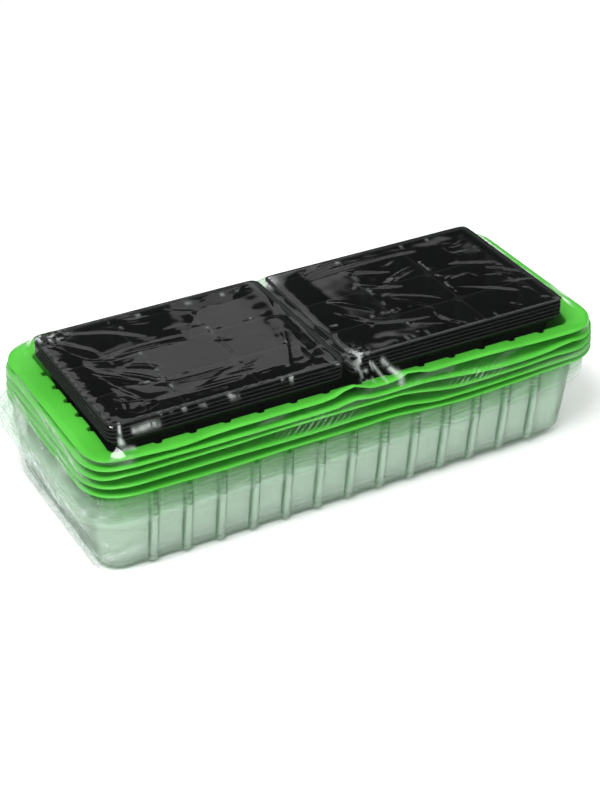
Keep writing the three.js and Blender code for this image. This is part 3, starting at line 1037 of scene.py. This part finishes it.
def film_material():
    """Clear shrink film: nearly invisible straight on, a sharp mirror at a slant, and white where it is
    crushed, with painted highlights, white marks standing in for glints, at its knots, creases and
    edges. Per-vertex attributes say where it is white and how strongly it mirrors."""
    n = Nodes(bpy.data.materials.new("shrink_film"))
    white = (0.90, 0.95, 0.93, 1)
    # white for crushed film and for painted highlights
    whitened_and_glinting = n.mix(0.4, n.first("BsdfDiffuse", Color=white), n.first("BsdfTranslucent", Color=white))
    uneven = n.spread(n.noise(160.0, 4.0), 0.35, 0.65, 0.6, 1.0)
    share = n.math("ADD", n.math("MULTIPLY", n.number("milk_and_glints"), uneven), 0.004)
    body = n.mix(share, n.first("BsdfTransparent", Color=(0.985, 0.99, 0.988, 1)), whitened_and_glinting)
    mirrored = n.math("MULTIPLY", n.mirror(0.055), 1.5, clamp=True)
    mirrored = n.math("MULTIPLY", mirrored, n.number("shine"))
    return n.surface(n.mix(mirrored, body, n.first("BsdfGlossy", Color=(1, 1, 1, 1), Roughness=0.03)))


def floor_material():
    n = Nodes(bpy.data.materials.new("floor_white"))
    colour = n.colours(n.noise(3.0, 2.0), (0.90, 0.90, 0.90), (0.92, 0.92, 0.92))
    return n.surface(n.first("BsdfDiffuse", Color=colour))


# ---- the pack ----


def build_shells():
    dome_look, tray_look = dome_material(), tray_material()
    for number in range(1, PIECES + 1):
        formed_shell("clear_dome", "dome", number, DOME, dome_look, dome_lift(number))
        formed_shell("green_tray", "tray", number, TRAY, tray_look, tray_lift(number))


def build_inserts():
    low, high = frame_box("insert_left_1")
    sheet = insert_sheet(*(high - low))
    sheet.materials.append(insert_material())
    sheet.shade_smooth()
    rng = np.random.default_rng(5)
    for side in ("left", "right"):
        for number in range(1, PIECES + 1):
            node = f"insert_{side}_{number}"
            low, high = frame_box(node)
            x, y = ((low + high) / 2)[:2] + rng.uniform(-LOOSE, LOOSE, 2)
            where = np.array((x, y, low[2])) * MM
            piece = place_piece(f"cells_{side}_{number}", sheet, node, where)
            thick = piece.modifiers.new("sheet", "SOLIDIFY")
            thick.thickness = INSERT["sheet"] * MM
            thick.offset = -1


def build_film():
    look = film_material()
    for name, node, (vertices, faces) in (
        ("film_hood", "film_upper", hood_film()),
        ("film_web", "film_lower", web_film()),
    ):
        piece = make_piece(name, vertices, faces, look, node)
        set_quality(piece, "milk_and_glints", film_milk(vertices))
        set_quality(piece, "shine", film_shine(vertices))


# ---- stage ----

CAMERA = dict(azimuth=-28.59, elevation=32.13, distance=1334.0, lens=86.2, aim=(-19.5, -30.4, 60.0))
# Lights: where they are, seen from the pack, in degrees and metres.
LIGHTS = {
    "key": dict(azimuth=-60, elevation=62, distance=1.7, size=(0.9, 0.7), watts=26, mirrored=True),
    "fill": dict(azimuth=60, elevation=50, distance=2.2, size=(0.8, 0.8), watts=10, mirrored=False),
}
# The two windows that mirrors see, in degrees: middle, half width and soft edge of their bearing and
# of their height.
WINDOWS = ((13.0, 17.0, 1.0), (29.3, 7.3, 1.0)), ((44.0, 14.0, 1.0), (47.0, 11.0, 1.2))
WINDOW_STRENGTH, ROOM_STRENGTH = 0.50, 0.008
OVERHEAD_STRENGTH, LEVEL_STRENGTH = 0.85, 0.12  # of the soft light
FLOOR_HALF, FLOOR_Z = 12.0, -0.0002  # metres: just under the pack


def build_floor():
    mesh = bpy.data.meshes.new("floor")
    half = FLOOR_HALF
    corners = [(-half, -half), (half, -half), (half, half), (-half, half)]
    mesh.from_pydata([(*corner, FLOOR_Z) for corner in corners], [], [(0, 1, 2, 3)])
    mesh.materials.append(floor_material())
    floor = bpy.data.objects.new("floor", mesh)
    bpy.context.scene.collection.objects.link(floor)


def direction(azimuth, elevation):
    """Unit vector from the pack towards a place round it. Azimuth 0 is in front, 90 at the right."""
    a, e = math.radians(azimuth), math.radians(elevation)
    return np.array((math.sin(a) * math.cos(e), -math.cos(a) * math.cos(e), math.sin(e)))


def put_facing(name, data, where, back):
    """An object on the stage whose own -Z points against back."""
    thing = bpy.data.objects.new(name, data)
    thing.location = where
    thing.rotation_mode = "QUATERNION"
    thing.rotation_quaternion = Vector(back).to_track_quat("Z", "Y")
    bpy.context.scene.collection.objects.link(thing)
    return thing


def build_world():
    """Soft white light for plain surfaces, brightest overhead. Mirrors see a dark room with two
    pale windows, and the camera sees white."""
    world = bpy.data.worlds.new("studio")
    bpy.context.scene.world = world
    n = Nodes(world)
    place = n.node("TexCoord").outputs["Generated"]
    x, y, z = n.node("SeparateXYZ", None, Vector=place).outputs
    bearing = n.math("MULTIPLY", n.math("ARCTAN2", x, y), math.degrees(1))
    height = n.math("MULTIPLY", n.math("ARCSINE", z), math.degrees(1))

    def between(value, middle, half, soft):
        away = n.math("ABSOLUTE", n.math("SUBTRACT", value, middle))
        return n.spread(away, half + soft, half - soft, 0.0, 1.0, "SMOOTHSTEP")

    windows = [n.math("MULTIPLY", between(bearing, *b), between(height, *h)) for b, h in WINDOWS]
    seen = n.math("MULTIPLY_ADD", n.math("MAXIMUM", *windows), WINDOW_STRENGTH, ROOM_STRENGTH)
    rays = n.node("LightPath").outputs
    soft = n.math("MULTIPLY_ADD", n.math("MAXIMUM", z), OVERHEAD_STRENGTH, LEVEL_STRENGTH)
    shown = n.math("MAXIMUM", soft, rays["Is Camera Ray"])
    white = (1, 1, 1, 1)
    ambient = n.first("Background", Color=white, Strength=shown)
    room = n.first("Background", Color=white, Strength=seen)
    n.surface(n.mix(rays["Is Glossy Ray"], ambient, room), "OutputWorld")


def build_lights():
    for name, light in LIGHTS.items():
        data = bpy.data.lights.new(name, "AREA")
        data.shape = "RECTANGLE"
        data.size, data.size_y = light["size"]
        data.energy = light["watts"]
        back = direction(light["azimuth"], light["elevation"])
        lamp = put_facing(name, data, back * light["distance"], back)
        lamp.visible_glossy = light["mirrored"]


def build_camera():
    data = bpy.data.cameras.new("camera")
    data.lens = CAMERA["lens"]
    data.clip_start, data.clip_end = 0.05, 50
    back = direction(CAMERA["azimuth"], CAMERA["elevation"])
    where = (np.array(CAMERA["aim"]) + back * CAMERA["distance"]) * MM
    bpy.context.scene.camera = put_facing("camera", data, where, back)


build_shells()
build_inserts()
build_film()
build_floor()
build_world()
build_lights()
build_camera()
scene = bpy.context.scene
scene.view_settings.view_transform = "Standard"
scene.view_settings.look = "None"
scene.cycles.transparent_max_bounces = 48
